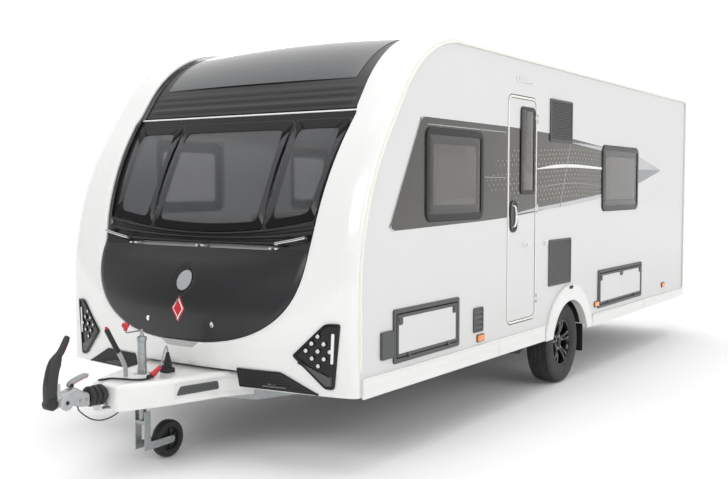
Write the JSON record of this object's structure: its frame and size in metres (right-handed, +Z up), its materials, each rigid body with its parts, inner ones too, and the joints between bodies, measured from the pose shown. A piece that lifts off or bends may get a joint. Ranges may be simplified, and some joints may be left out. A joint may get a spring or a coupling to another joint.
{
  "type": "travel caravan",
  "caption": "Single-axle touring caravan with raked front windows, gas locker lid, entrance door, side lockers, hitch and jockey wheel.",
  "frame": {"origin": "on the ground under the middle of the overall length and width", "axes": "+Z up, +Y towards the rear, +X towards the entrance-door side"},
  "size_m": [2.3062, 7.2916, 2.5503],
  "materials": {
    "wall_sheet": "satin",
    "white_moulding": "gloss",
    "awning_rail": "satin",
    "dark_moulding": "satin graphite",
    "black_trim": "gloss",
    "tinted_glass": "gloss",
    "grey_plastic": "matte",
    "galvanised_steel": "dull zinc",
    "grab_rail": "polished",
    "amber_lens": "gloss",
    "red_lens": "gloss",
    "black_alloy": "satin",
    "tyre_rubber": "matte",
    "black_rubber": "matte",
    "plug_red": "satin",
    "cast_grey": "satin",
    "floor_board": "matte",
    "cabinet_wood": "satin",
    "upholstery": "woven"
  },
  "bodies": {
    "caravan": {"chassis_rails": "galvanised_steel", "cross_members": "galvanised_steel", "axle_tube": "galvanised_steel", "suspension_arms": "galvanised_steel", "floor_panel": "floor_board", "left_wall": "wall_sheet", "right_wall": "wall_sheet", "roof_panel": "wall_sheet", "rear_wall": "wall_sheet", "front_wall": "wall_sheet", "front_moulding": "white_moulding", "front_window_surround": "black_trim", "front_window_panes": "tinted_glass", "sunroof": "dark_moulding", "front_grab_handles": "grab_rail", "light_pods": "black_trim", "corner_grilles": "black_trim", "gas_locker_box": "grey_plastic", "awning_rails": "awning_rail", "side_skirts": "white_moulding", "wheel_arches": "white_moulding", "mudflaps": "black_rubber", "side_window_frames": "black_trim", "side_window_panes": "tinted_glass", "side_vents": "grey_plastic", "marker_lamps": "amber_lens", "locker_frames": "grey_plastic", "roof_lights": "white_moulding", "rear_lamps": "red_lens", "rear_fittings": "white_moulding", "a_frame_cover": "white_moulding", "coupling_shaft": "galvanised_steel", "coupling_head": "cast_grey", "hitch_levers": "grey_plastic", "jockey_tube": "galvanised_steel", "steady_brackets": "galvanised_steel", "furniture": "cabinet_wood", "seat_cushions": "upholstery", "tow_cable": "black_rubber", "plug_lead": "black_rubber", "tow_plugs": "plug_red", "breakaway_cable": "black_rubber"},
    "left_wheel": {"left_wheel": "black_alloy", "left_tyre": "tyre_rubber"},
    "right_wheel": {"right_wheel": "black_alloy", "right_tyre": "tyre_rubber"},
    "entrance_door": {"entrance_door": "wall_sheet", "door_window": "black_trim", "door_handle": "black_trim"},
    "gas_locker_lid": {"gas_locker_lid": "dark_moulding"},
    "front_locker_door": {"front_locker_door": "wall_sheet"},
    "rear_locker_door": {"rear_locker_door": "wall_sheet"},
    "cassette_door": {"cassette_door": "wall_sheet"},
    "jockey_stem": {"jockey_stem": "galvanised_steel"},
    "jockey_fork": {"jockey_fork": "galvanised_steel"},
    "jockey_wheel": {"jockey_wheel": "tyre_rubber"},
    "left_front_steady": {"left_front_steady": "galvanised_steel"},
    "right_front_steady": {"right_front_steady": "galvanised_steel"},
    "left_rear_steady": {"left_rear_steady": "galvanised_steel"},
    "right_rear_steady": {"right_rear_steady": "galvanised_steel"}
  },
  "joints": [
    {"name": "left_wheel_spin", "type": "hinge", "parent": "caravan", "child": "left_wheel", "pos_m": [0.9955, 0.38, 0.3143], "axis": [1, 0, 0], "continuous": true},
    {"name": "right_wheel_spin", "type": "hinge", "parent": "caravan", "child": "right_wheel", "pos_m": [-0.9955, 0.38, 0.3143], "axis": [1, 0, 0], "continuous": true},
    {"name": "entrance_door_hinge", "type": "hinge", "parent": "caravan", "child": "entrance_door", "pos_m": [1.134, -0.257, 1.38], "axis": [0, 0, 1], "range_deg": [0, 165]},
    {"name": "gas_locker_lid_hinge", "type": "hinge", "parent": "caravan", "child": "gas_locker_lid", "pos_m": [0, -2.545, 1.194], "axis": [-1, 0, 0], "range_deg": [0, 50]},
    {"name": "front_locker_hinge", "type": "hinge", "parent": "caravan", "child": "front_locker_door", "pos_m": [1.1412, -1.813, 0.579], "axis": [0, 1, 0], "range_deg": [0, 150]},
    {"name": "rear_locker_hinge", "type": "hinge", "parent": "caravan", "child": "rear_locker_door", "pos_m": [1.1412, 1.596, 0.545], "axis": [0, 1, 0], "range_deg": [0, 150]},
    {"name": "cassette_hinge", "type": "hinge", "parent": "caravan", "child": "cassette_door", "pos_m": [-1.1412, 2.55, 0.559], "axis": [0, -1, 0], "range_deg": [0, 150]},
    {"name": "jockey_slide", "type": "slide", "parent": "caravan", "child": "jockey_stem", "axis": [0, 0, 1], "range_m": [-0.15, 0.085]},
    {"name": "jockey_swivel", "type": "hinge", "parent": "jockey_stem", "child": "jockey_fork", "pos_m": [0, -3.005, 0.24], "axis": [0, 0, 1], "continuous": true},
    {"name": "jockey_wheel_spin", "type": "hinge", "parent": "jockey_fork", "child": "jockey_wheel", "pos_m": [0, -2.82, 0.1065], "axis": [1, 0, 0], "continuous": true},
    {"name": "left_front_steady_hinge", "type": "hinge", "parent": "caravan", "child": "left_front_steady", "pos_m": [0.86, -1.87, 0.372], "axis": [1, 0, 0], "range_deg": [0, 60]},
    {"name": "left_rear_steady_hinge", "type": "hinge", "parent": "caravan", "child": "left_rear_steady", "pos_m": [0.86, 2.63, 0.372], "axis": [-1, 0, 0], "range_deg": [0, 60]},
    {"name": "right_front_steady_hinge", "type": "hinge", "parent": "caravan", "child": "right_front_steady", "pos_m": [-0.86, -1.87, 0.372], "axis": [1, 0, 0], "range_deg": [0, 60]},
    {"name": "right_rear_steady_hinge", "type": "hinge", "parent": "caravan", "child": "right_rear_steady", "pos_m": [-0.86, 2.63, 0.372], "axis": [-1, 0, 0], "range_deg": [0, 60]}
  ]
}
